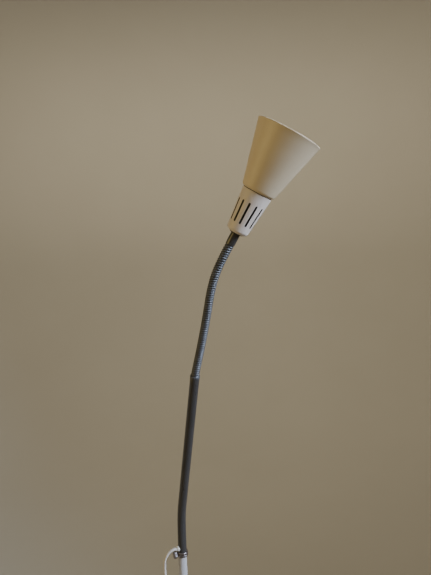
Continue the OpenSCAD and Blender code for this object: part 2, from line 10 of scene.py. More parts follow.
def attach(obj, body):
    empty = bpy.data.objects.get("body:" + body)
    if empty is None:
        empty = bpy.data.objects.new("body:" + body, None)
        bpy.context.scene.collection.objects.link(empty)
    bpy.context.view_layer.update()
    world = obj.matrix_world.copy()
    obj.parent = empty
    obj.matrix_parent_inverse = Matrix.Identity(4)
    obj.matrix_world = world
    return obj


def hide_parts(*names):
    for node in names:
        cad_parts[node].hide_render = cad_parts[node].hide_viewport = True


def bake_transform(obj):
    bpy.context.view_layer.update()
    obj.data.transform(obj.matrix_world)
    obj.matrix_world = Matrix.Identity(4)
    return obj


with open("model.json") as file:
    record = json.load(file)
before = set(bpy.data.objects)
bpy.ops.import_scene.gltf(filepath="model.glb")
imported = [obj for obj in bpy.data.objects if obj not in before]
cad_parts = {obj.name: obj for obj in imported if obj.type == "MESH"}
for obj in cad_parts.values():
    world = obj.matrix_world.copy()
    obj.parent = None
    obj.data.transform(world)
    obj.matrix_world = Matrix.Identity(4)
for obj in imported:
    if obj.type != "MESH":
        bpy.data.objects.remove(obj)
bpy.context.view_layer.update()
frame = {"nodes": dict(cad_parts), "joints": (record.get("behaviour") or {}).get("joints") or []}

# Lengths in this script are millimetres, as in the part's source; meshes are written in metres.
MM = 0.001

# ---------------------------------------------------------------- camera

CAMERA_AT = (0.06175, -0.650, 1.302)
CAMERA_ROLL = math.radians(1.72)
LENS = 27.0

camera_data = bpy.data.cameras.new("camera")
camera_data.lens = LENS
camera_data.sensor_width = 36
camera = bpy.data.objects.new("camera", camera_data)
bpy.context.scene.collection.objects.link(camera)
camera.matrix_world = Matrix((
    (math.cos(CAMERA_ROLL), math.sin(CAMERA_ROLL), 0, CAMERA_AT[0]),
    (0, 0, -1, CAMERA_AT[1]),
    (-math.sin(CAMERA_ROLL), math.cos(CAMERA_ROLL), 0, CAMERA_AT[2]),
    (0, 0, 0, 1),
))
bpy.context.scene.camera = camera

# ---------------------------------------------------------------- vectors and curves


def vec(*v):
    return np.array(v, float)


def unit(v):
    v = np.asarray(v, float)
    return v / np.linalg.norm(v)


def polar(tilt, turn):
    """The direction that leans by tilt from +Z, towards turn, in degrees."""
    t, a = math.radians(tilt), math.radians(turn)
    return vec(math.sin(t) * math.cos(a), math.sin(t) * math.sin(a), math.cos(t))


def smooth_path(points, steps):
    """Points on a Catmull-Rom curve, as part.scad's smooth()."""
    p = [np.asarray(q, float) for q in points]
    out = []
    for i in range(len(p) - 1):
        a, b, c, d = p[max(i - 1, 0)], p[i], p[i + 1], p[min(i + 2, len(p) - 1)]
        for k in range(steps):
            t = k / steps
            out.append(0.5 * (2 * b + (c - a) * t + (2 * a - 5 * b + 4 * c - d) * t * t
                              + (3 * b - a - 3 * c + d) * t ** 3))
    out.append(p[-1])
    return np.array(out)


def even_path(points, gap):
    """The same polyline, with points an even gap apart."""
    points = np.asarray(points, float)
    run = np.r_[0, np.cumsum(np.linalg.norm(np.diff(points, axis=0), axis=1))]
    s = np.linspace(0, run[-1], max(2, int(round(run[-1] / gap)) + 1))
    return np.stack([np.interp(s, run, points[:, k]) for k in range(3)], axis=1)


def headings(points):
    d = np.gradient(np.asarray(points, float), axis=0)
    return d / np.linalg.norm(d, axis=1)[:, None]


def carried_sides(points, first):
    """One side vector for each point, square to the path and turning as little as it can."""
    along = headings(points)
    side = unit(first - (first @ along[0]) * along[0])
    out = []
    for t in along:
        side = unit(side - (side @ t) * t)
        out.append(side)
    return np.array(out)


def rounded(corners, steps=4):
    """A profile of (x, y, fillet radius) corners with each corner rounded. The profile is closed."""
    out = []
    n = len(corners)
    for i, (x, y, r) in enumerate(corners):
        here = vec(x, y)
        if r <= 0:
            out.append(here)
            continue
        before = unit(vec(*corners[i - 1][:2]) - here)
        after = unit(vec(*corners[(i + 1) % n][:2]) - here)
        half = math.acos(max(-1, min(1, before @ after))) / 2
        cut = r / math.tan(half)
        centre = here + unit(before + after) * r / math.sin(half)
        a = here + before * cut - centre
        b = here + after * cut - centre
        span = math.pi - 2 * half
        for k in range(steps + 1):
            f = k / steps
            out.append(centre + (math.sin((1 - f) * span) * a + math.sin(f * span) * b) / math.sin(span))
    return np.array(out)


# ---------------------------------------------------------------- mesh makers

def make_piece(name, verts, faces, body, material, slot, replaces=(), sharp=40, bevel=None):
    """A mesh piece from millimetre points that rides on a body."""
    mesh = bpy.data.meshes.new(name)
    mesh.from_pydata([tuple(v) for v in np.asarray(verts, float) * MM], [], [tuple(f) for f in faces])
    mesh.validate()
    work = bmesh.new()
    work.from_mesh(mesh)
    bmesh.ops.recalc_face_normals(work, faces=work.faces)
    work.to_mesh(mesh)
    work.free()
    mesh.shade_smooth()
    mesh.set_sharp_from_angle(angle=math.radians(sharp))
    piece = bpy.data.objects.new(name, mesh)
    bpy.context.scene.collection.objects.link(piece)
    mesh.materials.append(material)
    if bevel:
        mod = piece.modifiers.new("edge", "BEVEL")
        mod.width, mod.segments, mod.limit_method = bevel * MM, 2, "ANGLE"
        mod.angle_limit = math.radians(35)
    if body:
        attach(piece, body)
    if replaces:
        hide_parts(*replaces)
    return piece


def place(points, at=(0, 0, 0), along=(0, 0, 1), turn=0.0):
    """Moves points from a local frame, whose +Z is along, to the row frame, as stand_on() does."""
    z = unit(along)
    a = math.atan2(z[1], z[0])
    t = math.acos(max(-1, min(1, z[2])))
    x = vec(math.cos(t) * math.cos(a), math.cos(t) * math.sin(a), -math.sin(t))
    y = np.cross(z, x)
    c, s = math.cos(turn), math.sin(turn)
    basis = np.stack([c * x + s * y, c * y - s * x, z], axis=1)
    return np.asarray(points, float) @ basis.T + np.asarray(at, float)


def lathe(profile, sides=96, closed=True):
    """A profile of (radius, height) turned about +Z. Closed, it is a ring; open, it ends on the axis."""
    verts, faces, rows = [], [], []
    angles = np.arange(sides) * 2 * math.pi / sides
    for r, z in profile:
        if r < 1e-6:
            rows.append([len(verts)] * sides)
            verts.append((0, 0, z))
        else:
            rows.append(list(range(len(verts), len(verts) + sides)))
            verts += [(r * math.cos(a), r * math.sin(a), z) for a in angles]
    pairs = list(zip(rows, rows[1:] + rows[:1])) if closed else list(zip(rows, rows[1:]))
    for a, b in pairs:
        for k in range(sides):
            m = (k + 1) % sides
            face = [a[k], a[m], b[m], b[k]]
            face = [v for i, v in enumerate(face) if v != face[i - 1]]
            if len(face) > 2:
                faces.append(face)
    return np.array(verts), faces


def loft(rings, closed=False):
    """Faces over a row of equal rings: capped at both ends, or closed into a ring of rings."""
    count, n = len(rings), len(rings[0])
    verts = np.concatenate([np.asarray(r, float) for r in rings])
    faces = []
    for i in range(count if closed else count - 1):
        j = (i + 1) % count
        for k in range(n):
            m = (k + 1) % n
            faces.append((i * n + k, i * n + m, j * n + m, j * n + k))
    if not closed:
        faces.append(tuple(range(n - 1, -1, -1)))
        faces.append(tuple((count - 1) * n + k for k in range(n)))
    return verts, faces


def sweep(path, sides, section):
    """Rings of a section, given as (side, cross) pairs, along a path with a side vector for each point."""
    along = headings(path)
    cross = np.cross(along, sides)
    return [p + np.outer(section[:, 0], s) + np.outer(section[:, 1], c)
            for p, s, c in zip(path, sides, cross)]


def circle(radius, sides):
    a = np.arange(sides) * 2 * math.pi / sides
    return np.stack([radius * np.cos(a), radius * np.sin(a)], axis=1)


def stadium(width, thick, sides):
    """A flat lead's section: straight wide faces and round edges."""
    a = (np.arange(sides) + 0.5) * 2 * math.pi / sides
    x = thick / 2 * np.cos(a) + np.sign(np.cos(a)) * (width - thick) / 2
    return np.stack([x, thick / 2 * np.sin(a)], axis=1)


def lead_hole(clear, sides):
    """The oval hole that the flat lead passes through, with clear all round it."""
    a = np.arange(sides) * 2 * math.pi / sides
    radius = LEAD_T / 2 + clear
    spread = np.sign(np.sin(a)) * (LEAD_W - LEAD_T) / 2
    return np.stack([radius * np.cos(a), radius * np.sin(a) + spread], axis=1)


def block_outline(width, height, corner, per_corner=8):
    """A rectangle with round corners, centred, as a ring of points."""
    out = []
    for cx, cy, start in ((1, 1, 0), (-1, 1, 90), (-1, -1, 180), (1, -1, 270)):
        for k in range(per_corner):
            a = math.radians(start + 90 * k / (per_corner - 1))
            out.append((cx * (width / 2 - corner) + corner * math.cos(a),
                        cy * (height / 2 - corner) + corner * math.sin(a)))
    return np.array(out)


def turned(name, corners, body, material, slot, at=(0, 0, 0), along=(0, 0, 1), sides=96, steps=4,
           replaces=()):
    """A closed ring turned from a rounded profile."""
    verts, faces = lathe(rounded(corners, steps), sides)
    return make_piece(name, place(verts, at, along), faces, body, material, slot, replaces)


# ---------------------------------------------------------------- materials


def tree_of(material):
    material.use_nodes = True
    nodes, links = material.node_tree.nodes, material.node_tree.links
    return nodes, links, nodes["Principled BSDF"]


def noise(nodes, links, coords, scale, detail=4.0, rough=0.55):
    n = nodes.new("ShaderNodeTexNoise")
    n.inputs["Scale"].default_value = scale
    n.inputs["Detail"].default_value = detail
    n.inputs["Roughness"].default_value = rough
    links.new(coords, n.inputs["Vector"])
    return n.outputs["Fac"]


def remap(nodes, links, value, low, high, start=0.3, stop=0.7):
    m = nodes.new("ShaderNodeMapRange")
    m.inputs["From Min"].default_value, m.inputs["From Max"].default_value = start, stop
    m.inputs["To Min"].default_value, m.inputs["To Max"].default_value = low, high
    links.new(value, m.inputs["Value"])
    return m.outputs["Result"]


def mixed(nodes, links, factor, a, b):
    m = nodes.new("ShaderNodeMix")
    m.data_type = "RGBA"
    links.new(factor, m.inputs["Factor"])
    for socket, colour in ((m.inputs["A"], a), (m.inputs["B"], b)):
        if hasattr(colour, "node"):
            links.new(colour, socket)
        else:
            socket.default_value = (*colour, 1)
    return m.outputs["Result"]


def bumped(nodes, links, height, strength, distance, before=None):
    b = nodes.new("ShaderNodeBump")
    b.inputs["Strength"].default_value = strength
    b.inputs["Distance"].default_value = distance
    links.new(height, b.inputs["Height"])
    if before is not None:
        links.new(before, b.inputs["Normal"])
    return b.outputs["Normal"]


def surface(name, colour, dark, rough=(0.3, 0.4), metal=0.0, patches=18.0, grain=900.0, bump=0.15,
            depth=0.0001, stretch=(1, 1, 1), specks=None, coat=0.0, scratch=0.0):
    """A finished surface: two shades in patches, with grain, bump, uneven gloss, specks and scratches."""
    material = bpy.data.materials.new(name)
    nodes, links, shader = tree_of(material)
    where = nodes.new("ShaderNodeTexCoord").outputs["Object"]
    mapping = nodes.new("ShaderNodeMapping")
    mapping.inputs["Scale"].default_value = stretch
    links.new(where, mapping.inputs["Vector"])
    drawn = mapping.outputs["Vector"]
    tone = remap(nodes, links, noise(nodes, links, drawn, patches), 0, 1)
    base = mixed(nodes, links, tone, colour, dark)
    if specks:
        dots = remap(nodes, links, noise(nodes, links, where, specks[1], 2), 0, specks[2], 0.66, 0.74)
        base = mixed(nodes, links, dots, base, specks[0])
    links.new(base, shader.inputs["Base Color"])
    gloss = noise(nodes, links, drawn, patches * 3, 6, 0.65)
    links.new(remap(nodes, links, gloss, rough[0], rough[1]), shader.inputs["Roughness"])
    normal = bumped(nodes, links, noise(nodes, links, drawn, grain, 3), bump, depth)
    if scratch:
        lines = nodes.new("ShaderNodeMapping")
        lines.inputs["Scale"].default_value = (1, 1, 0.03)
        lines.inputs["Rotation"].default_value = (0.2, 0.1, 0)
        links.new(where, lines.inputs["Vector"])
        fine = remap(nodes, links, noise(nodes, links, lines.outputs["Vector"], 700, 2), 0, 1, 0.60, 0.72)
        normal = bumped(nodes, links, fine, scratch, 0.00005, normal)
    links.new(normal, shader.inputs["Normal"])
    shader.inputs["Metallic"].default_value = metal
    shader.inputs["Coat Weight"].default_value = coat
    shader.inputs["Coat Roughness"].default_value = 0.1
    return material


white_paint = surface("white_paint", (0.55, 0.54, 0.57), (0.53, 0.52, 0.55), (0.22, 0.34), grain=1100,
                      bump=0.10, specks=((0.45, 0.42, 0.38), 420, 0.5), coat=0.25)
# Lamp shade paint: a slightly warm white, pushed to cream by a painted reflection of warm room light.
shade_paint = surface("shade_paint", (0.72, 0.60, 0.43), (0.66, 0.54, 0.38), (0.36, 0.50), grain=1300,
                      bump=0.18, patches=24, specks=((0.46, 0.41, 0.30), 520, 0.35))
cover_paint = surface("cover_paint", (0.74, 0.66, 0.61), (0.68, 0.60, 0.55), (0.36, 0.50), grain=1300,
                      bump=0.16, patches=40, specks=((0.44, 0.40, 0.36), 600, 0.35))
dark_paint = surface("dark_paint", (0.056, 0.053, 0.054), (0.042, 0.039, 0.039), (0.26, 0.36), grain=1500,
                     bump=0.10, patches=30, stretch=(1, 1, 0.25), scratch=0.25, coat=0.15,
                     specks=((0.06, 0.055, 0.05), 700, 0.5))
dark_nickel = surface("dark_nickel", (0.125, 0.13, 0.145), (0.09, 0.09, 0.10), (0.48, 0.60), metal=0.55,
                      grain=2200, bump=0.12, patches=120, specks=((0.05, 0.045, 0.04), 900, 0.6))
chrome = surface("chrome", (0.38, 0.35, 0.37), (0.28, 0.25, 0.265), (0.30, 0.42), metal=1.0, grain=1400,
                 bump=0.06, patches=140, specks=((0.25, 0.23, 0.21), 800, 0.6))
steel = surface("steel", (0.52, 0.52, 0.50), (0.40, 0.40, 0.39), (0.25, 0.42), metal=1.0, grain=900,
                bump=0.12, patches=120, scratch=0.3)
iron = surface("iron", (0.07, 0.07, 0.075), (0.04, 0.04, 0.045), (0.6, 0.8), metal=0.4, grain=500,
               bump=0.5, depth=0.0004, patches=60)
brass = surface("brass", (0.62, 0.44, 0.19), (0.50, 0.33, 0.13), (0.22, 0.38), metal=1.0, grain=1200,
                bump=0.08, patches=160)
bulb_metal = surface("bulb_metal", (0.62, 0.62, 0.62), (0.52, 0.52, 0.53), (0.2, 0.35), metal=1.0,
                     grain=1200, bump=0.06, patches=160)
foam = surface("foam", (0.035, 0.035, 0.037), (0.022, 0.022, 0.024), (0.85, 0.98), grain=1800, bump=0.7,
               depth=0.0003, patches=70)
black_plastic = surface("black_plastic", (0.018, 0.018, 0.018), (0.012, 0.012, 0.012), (0.38, 0.52),
                        grain=2400, bump=0.2, patches=90)
tie_plastic = surface("tie_plastic", (0.022, 0.022, 0.024), (0.014, 0.014, 0.015), (0.55, 0.7),
                      grain=2600, bump=0.5, patches=200)
white_plastic = surface("white_plastic", (0.74, 0.74, 0.72), (0.70, 0.69, 0.66), (0.28, 0.40), grain=2000,
                        bump=0.10, patches=60, specks=((0.50, 0.48, 0.44), 700, 0.3))
rocker_plastic = surface("rocker_plastic", (0.62, 0.62, 0.61), (0.56, 0.56, 0.55), (0.22, 0.34),
                         grain=2400, bump=0.14, patches=90)
lead_plastic = surface("lead_plastic", (0.70, 0.66, 0.64), (0.63, 0.59, 0.56), (0.38, 0.52), grain=1600,
                       bump=0.14, patches=35, specks=((0.42, 0.38, 0.34), 650, 0.4))
holder_plastic = surface("holder_plastic", (0.016, 0.014, 0.013), (0.011, 0.010, 0.009), (0.3, 0.45),
                         grain=1800, bump=0.12, patches=80)
# Near-black for the inside of the socket cover: painted shade standing in for the shadow inside it, so the
# slots read black.
neck_inside = surface("neck_inside", (0.020, 0.017, 0.014), (0.012, 0.010, 0.009), (0.6, 0.8), grain=1500,
                      bump=0.2, patches=80)
silvered = surface("silvered", (0.60, 0.60, 0.60), (0.50, 0.50, 0.50), (0.18, 0.3), metal=0.9,
                   grain=900, bump=0.05, patches=90)
frosted = surface("frosted", (0.80, 0.80, 0.78), (0.74, 0.74, 0.72), (0.35, 0.5), grain=2600, bump=0.25,
                  patches=70, coat=0.3)

# ---------------------------------------------------------------- lengths and places from the part

BASE_TOP = 23.0
TUBE_R, BORE_R = 6.4, 5.4
JOINT_Z, POLE_TOP = 460.0, 901.0
COLLAR_Z, SCREW_Z = 900.0, 903.9
ARM_Z, KNEE, BEND_R, ARM_BEND, ARM_TURN, ARM_LEN = 902.5, vec(0, 0, 962), 120.0, 19.5, -67.0, 234.0
LEAD_Z, LEAD_TURN, LEAD_W, LEAD_T = 912.3, 205.0, 5.2, 3.2
ARM_DIR = polar(ARM_BEND, ARM_TURN)
ARM_END = KNEE + ARM_LEN * ARM_DIR
GOOSE_R, RIB_PITCH, RIB_DEPTH = 5.6, 3.1, 0.95
HEAD_DIR = unit((math.tan(math.radians(30)), -math.tan(math.radians(18)), 1))
TIP_LEN, NECK_AT, LIP_AT, SHADE_LEN = 17.5, 34.0, 87.0, 74.0
LIP_R, MOUTH_R, SHEET, LIP_ROUND, HOLE_R = 21.4, 39.0, 0.8, 4.4, 14.1
SWITCH_AT, SWITCH_Z, SWITCH_HALF = 27.5, 545.0, 32.0

joints = {j["name"]: j for j in frame["joints"]}
bends = ["side_bend_1", "front_bend_1", "side_bend_2", "front_bend_2",
         "side_bend_3", "front_bend_3", "side_bend_4", "front_bend_4"]
pivots = [vec(*joints[name]["pos_m"]) / MM for name in bends]
head_at = pivots[-1]

LEAD_OUT, LEAD_SIDE, UP = polar(90, LEAD_TURN), polar(90, LEAD_TURN + 90), vec(0, 0, 1)

# ---------------------------------------------------------------- the lead

UPPER_ROUTE = [[6, 0, 912.3], [9.7, 0, 912.3], [12.7, 0, 912.7], [16.2, 0, 912.4], [20.2, 0, 910.7],
               [23.8, 0, 907.6], [26.4, 0, 903.6], [27.9, 0, 899], [28.4, 0, 893], [28.3, 0, 884],
               [28.1, 0, 870], [27.9, 0.5, 840], [28.2, 1.5, 790], [28.8, 1, 730], [28.4, -0.5, 670],
               [27.6, -0.5, 620], [27.5, 0, 597]]
FALL_ROUTE = [[27.5, 0, 493], [27.6, 0, 476], [28.4, 1, 420], [29, 2, 340], [28.8, 1.5, 260],
              [28.4, 0.5, 180], [28.6, 0, 120], [30.5, 0, 84], [36, 0, 56], [46, 0, 36], [59, 0, 25.5],
              [72, 0, 21.8], [90, 0, 20.3], [104, 0, 19.4], [113.3, 0, 17.3], [121.3, 0, 11.9], [129, 0, 6.4],
              [137, 0, 3.3], [147, 0, 2.4]]
FLOOR_ROUTE = [[-144, -66, 2.3], [-158, -69.5, 2.6], [-174, -68, 2.9], [-189, -60, 3.1],
               [-200, -46, 3.3], [-205, -29, 3.4], [-203, -11, 3.5]]
TAIL_ROUTE = [[-200.2, -8, 9], [-200.5, 6, 7.7], [-199.2, 18, 5.6], [-196.4, 30, 4.9],
              [-193.6, 40, 6.0], [-192.4, 47, 6.8], [-192.4, 57, 6.9], [-192.4, 67, 6.9]]
COIL_MID, COIL_R, TURN_GAP, COIL_LOW = vec(-164, -8), 28.5, 5.4, 0.7
PLUG_AT = vec(-192.4, 69, 6.9)


def out_of_pole(p):
    return p[0] * LEAD_OUT + p[1] * LEAD_SIDE + vec(0, 0, p[2])


def eased(t):
    t = min(max(t, 0.0), 1.0)
    return t * t * (3 - 2 * t)


def coil_path(start, stop):
    """Six turns in two layers of three, from the end of the floor route to the start of the tail."""
    first = start[:2] - COIL_MID
    last = stop[:2] - COIL_MID
    radii = [COIL_R + TURN_GAP * k for k in (1, 0, -1, -1, 0, 1)]
    heights = [COIL_LOW + TURN_GAP * k for k in (0.5, 0.5, 0.5, 1.5, 1.5, 1.5)]
    a0 = math.atan2(first[1], first[0]) % (2 * math.pi)
    a1 = math.atan2(last[1], last[0]) % (2 * math.pi) - 12 * math.pi
    steps = 6 * 36
    out = []
    for i in range(1, steps):
        u = i / steps * 6
        k = min(int(u), 5)
        f = u - k
        r, z = radii[k], heights[k]
        if k == 0:
            e = eased(f / 0.3)
            r = np.linalg.norm(first) * (1 - e) + r * e
            z = start[2] * (1 - e) + z * e
        if k < 5:
            e = eased((f - 0.72) / 0.28)
            r += (radii[k + 1] - r) * e
            z += (heights[k + 1] - z) * e
        else:
            e = eased((f - 0.75) / 0.25)
            r += (np.linalg.norm(last) - r) * e
            z += (stop[2] - z) * e
        a = a0 + (a1 - a0) * i / steps
        out.append(vec(COIL_MID[0] + r * math.cos(a), COIL_MID[1] + r * math.sin(a), z))
    return out


route = [out_of_pole(p) for p in UPPER_ROUTE + FALL_ROUTE] + [vec(*p) for p in FLOOR_ROUTE]
hanging = smooth_path(route, 8)
coil = coil_path(hanging[-1], vec(*TAIL_ROUTE[0]))
tail = smooth_path(TAIL_ROUTE, 8)
lead_path = even_path(np.concatenate([hanging, coil, tail]), 2.2)
run = np.r_[0, np.cumsum(np.linalg.norm(np.diff(lead_path, axis=0), axis=1))]
lead_length = float(run[-1])

# The wide side lies along the pole's tangent while the lead hangs, stands upright in the coil, and
# lies flat again at the plug.
edge_from = run[np.argmax(lead_path[:, 0] < -140)]
tail_run = float(np.linalg.norm(np.diff(tail, axis=0), axis=1).sum())
lead_sides = []
for s, along in zip(run, headings(lead_path)):
    upright = eased((s - edge_from) / 75)
    flat = eased((s - (lead_length - tail_run)) / (tail_run * 0.75))
    wide = (1 - upright) * LEAD_SIDE + upright * (1 - flat) * UP + flat * vec(1, 0, 0)
    lead_sides.append(unit(wide - (wide @ along) * along))
lead_rings = sweep(lead_path, np.array(lead_sides), stadium(LEAD_W, LEAD_T, 20))
lead = make_piece("lead", *loft(lead_rings), None, lead_plastic, "lead")
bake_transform(lead)
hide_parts("lead_upper", "lead_lower", "lead_coil", "lead_tail")

# ---------------------------------------------------------------- base and pole

turned("base_dome", [(5.0, 21.8, 0.2), (5.0, 23, 0.3), (107.2, 16.9, 9), (115, 13.2, 5.4), (115, 2.0, 0.5),
                     (113.8, 2.0, 0.3), (113.8, 12.4, 4.5), (106.9, 15.7, 8)],
       "stand", white_paint, "white_paint", sides=192, steps=10, replaces=["base_cover"])
turned("base_foam", [(0.5, 1.95, 0), (112.6, 1.95, 0.5), (113, 1.0, 0.4), (112.6, 0, 0.4), (0.5, 0, 0)],
       "stand", foam, "pad", sides=160, replaces=["base_pad"])
turned("foot_sleeve", [(6.45, 0, 0.2), (12.5, 0, 0.4), (12.5, 3.2, 1.2), (9.2, 5.6, 2.2), (8.2, 9.2, 2),
                       (8.2, 16.6, 0.9), (7.3, 17, 0.5), (6.45, 17, 0.2)],
       "stand", white_paint, "white_paint", at=(0, 0, BASE_TOP + 0.05), sides=96, steps=6,
       replaces=["foot_collar"])


def pole_tube(name, low, high, node):
    turned(name, [(BORE_R, low, 0.2), (TUBE_R, low, 0.35), (TUBE_R, high, 0.35), (BORE_R, high, 0.2)],
           "stand", white_paint, "white_paint", sides=80, steps=4, replaces=[node])


pole_tube("pole_tube_low", BASE_TOP + 0.05, JOINT_Z - 1, "pole_lower")
pole_tube("pole_tube_high", JOINT_Z + 1, POLE_TOP, "pole_upper")

# The clamping collar: two beads and the groove between them
turned("collar_ring", [(6.5, 0, 0.2), (7.4, 0, 0.25), (7.4, 0.7, 0.2), (8.5, 1.0, 0.7), (8.5, 3.3, 0.7),
                       (7.5, 3.45, 0.2), (7.5, 4.05, 0.2), (8.5, 4.2, 0.7), (8.5, 6.9, 1.2),
                       (7.3, 7.5, 0.4), (6.5, 7.5, 0.3)],
       "stand", chrome, "plating", at=(0, 0, COLLAR_Z), sides=96, steps=6, replaces=["pole_collar"])


def knurled_screw():
    """The lock screw: a shank and a head with cut edges, chamfered at both ends."""
    count, teeth = 144, 24
    angles = np.arange(count) * 2 * math.pi / count
    tooth = 0.5 + 0.5 * np.cos(angles * teeth)
    rows = []
    for z, r, share in ((0.35, 1.7, 0), (0.6, 2.0, 0), (3.3, 2.0, 0), (3.3, 3.6, 0), (2.95, 4.3, 0),
                        (3.25, 4.7, 0.5), (3.7, 4.98, 1), (6.9, 4.98, 1), (7.3, 4.7, 0.5), (7.58, 4.2, 0),
                        (7.58, 3.0, 0), (7.3, 2.7, 0), (7.3, 0.6, 0)):
        radius = r - 0.34 * share * tooth
        rows.append(np.stack([radius * np.cos(angles), radius * np.sin(angles), np.full(count, z)], axis=1))
    verts, faces = loft(rows)
    return place(verts, TUBE_R * LEAD_OUT + vec(0, 0, SCREW_Z), LEAD_OUT), faces


make_piece("lock_knob", *knurled_screw(), "screw", chrome, "plating", ["lock_screw"])

# ---------------------------------------------------------------- arm


def arm_path():
    """The middle line of the arm's tube: straight, bent, straight."""
    reach = BEND_R * math.tan(math.radians(ARM_BEND / 2))
    side = polar(90, ARM_TURN)
    low = KNEE[2] - reach
    points = [vec(0, 0, z) for z in np.linspace(ARM_Z, low - 2, 6)]
    for a in np.radians(np.linspace(0, ARM_BEND, 22)):
        points.append(side * BEND_R * (1 - math.cos(a)) + vec(0, 0, low + BEND_R * math.sin(a)))
    points += [KNEE + t * ARM_DIR for t in np.linspace(reach + 2, ARM_LEN, 24)]
    return np.array(points)


def tube_shell(path, outer, inner, sides, edge):
    """A hollow tube along a path, with rounded end edges."""
    across = carried_sides(path, polar(90, ARM_TURN + 90))
    along = headings(path)
    ends = [(0, -edge, 0.0), (0, -edge * 0.3, edge * 0.3), (0, 0.0, edge)]
    rings = []
    for index, inset, shift in ends:
        ring = sweep(path[:2], across[:2], circle(outer + inset, sides))[index]
        rings.append(ring + along[0] * shift)
    rings += sweep(path, across, circle(outer, sides))[1:-1]
    for index, inset, shift in reversed(ends):
        ring = sweep(path[-2:], across[-2:], circle(outer + inset, sides))[1]
        rings.append(ring - along[-1] * shift)
    rings += list(reversed(sweep(path, across, circle(inner, sides))))
    return loft(rings, closed=True)


make_piece("arm_bent_tube", *tube_shell(arm_path(), TUBE_R, BORE_R, 64, 0.35), "arm", dark_paint,
           "dark_paint", ["arm_tube"])
turned("arm_rim", [(5.7, -0.3, 0.1), (6.65, -0.3, 0.2), (6.65, 2.3, 0.6), (6.1, 3.0, 0.3), (5.7, 3.0, 0.2)],
       "arm", dark_nickel, "plating", at=ARM_END, along=ARM_DIR, sides=80, steps=5, replaces=["arm_ferrule"])


def grommet():
    """A white bush in the arm's wall: a flange that follows the tube, and an oval nose for the lead."""
    sides = 48
    a = np.arange(sides) * 2 * math.pi / sides
    oval = lead_hole(0.12, sides)
    rows = []
    for r, x in ((3.1, 4.8), (3.1, 6.0), (4.1, None), (4.15, 7.2), (4.05, 7.7), (3.7, 7.95), (3.5, 8.4),
                 (3.35, 8.8), (3.05, 9.0)):
        ring = np.stack([r * np.cos(a), r * np.sin(a)], axis=1)
        depth = np.full(sides, x) if x else np.sqrt(np.maximum(TUBE_R ** 2 - ring[:, 1] ** 2, 0)) + 0.05
        rows.append(np.column_stack([ring, depth]))
    for grow, x in ((0.35, 9.0), (0.0, 8.75), (0.0, 4.8)):
        rows.append(np.column_stack([oval * (1 + grow / 2.2), np.full(sides, x)]))
    verts, faces = loft(rows, closed=True)
    return place(verts, vec(0, 0, LEAD_Z), LEAD_OUT), faces


make_piece("lead_grommet", *grommet(), "arm", white_plastic, "white_plastic", ["cord_grommet"])

# ---------------------------------------------------------------- gooseneck

RIB_STEPS, GOOSE_SIDES = 10, 40


def gooseneck_line():
    """Points along the gooseneck's middle: straight in both ferrules, and a curve round each pivot."""
    start = ARM_END - 1.5 * ARM_DIR
    mids = [ARM_END + 0.5 * ARM_DIR]
    mids += [(a + b) / 2 for a, b in zip(pivots, pivots[1:])]
    mids.append(head_at + 9 * HEAD_DIR)
    points = [start]
    for a, pivot, b in zip(mids, pivots, mids[1:]):
        for t in np.linspace(0, 1, 16)[:-1]:
            points.append((1 - t) ** 2 * a + 2 * t * (1 - t) * pivot + t * t * b)
    points += [mids[-1], head_at + (TIP_LEN + 6) * HEAD_DIR]
    points = even_path(points, 0.25)
    lengths = np.r_[0, np.cumsum(np.linalg.norm(np.diff(points, axis=0), axis=1))]
    cuts = [0.0]
    for mid in mids[1:-1]:
        cuts.append(lengths[np.argmin(np.linalg.norm(points - mid, axis=1))])
    cuts.append(lengths[-1] - 1.2 * RIB_PITCH)
    return points, lengths, cuts, mids


goose_points, goose_run, goose_cuts, goose_mids = gooseneck_line()
goose_across = carried_sides(goose_points, vec(1, 0, 0))
goose_along = headings(goose_points)


def goose_spot(s, angle, radius):
    """A point on the gooseneck's skin, s along it."""
    s = min(max(s, 0), goose_run[-1])
    p, u, t = (np.array([np.interp(s, goose_run, track[:, k]) for k in range(3)])
               for track in (goose_points, goose_across, goose_along))
    t = unit(t)
    u = unit(u - (u @ t) * t)
    return p + radius * (math.cos(angle) * u + math.sin(angle) * np.cross(t, u))


def gooseneck_piece(first, last):
    """Windings from row first to row last. Rows follow the helix, so the grooves follow the mesh."""
    step = RIB_PITCH / RIB_STEPS
    spots, verts, faces = {}, [], []

    def spot(i, j, inner):
        key = (i, j, inner)
        if key not in spots:
            hump = abs(math.sin(math.pi * (i % RIB_STEPS) / RIB_STEPS)) ** 0.8
            radius = GOOSE_R - 1.7 if inner else GOOSE_R - RIB_DEPTH * (1 - hump)
            spots[key] = len(verts)
            verts.append(goose_spot(step * (i + RIB_STEPS * j / GOOSE_SIDES), 2 * math.pi * j / GOOSE_SIDES,
                                    radius))
        return spots[key]

    for inner in (False, True):
        for i in range(first, last):
            for j in range(GOOSE_SIDES):
                k, n = (i, j + 1) if j + 1 < GOOSE_SIDES else (i + RIB_STEPS, 0)
                face = [spot(i, j, inner), spot(k, n, inner), spot(k + 1, n, inner), spot(i + 1, j, inner)]
                faces.append(face[::-1] if inner else face)
    for row, flip in ((first, True), (last, False)):
        loop = [(row, j) for j in range(GOOSE_SIDES)] + [(row + k, 0) for k in range(RIB_STEPS, 0, -1)]
        for a, b in zip(loop, loop[1:] + loop[:1]):
            face = [spot(*a, False), spot(*b, False), spot(*b, True), spot(*a, True)]
            faces.append(face[::-1] if flip else face)
    return verts, faces


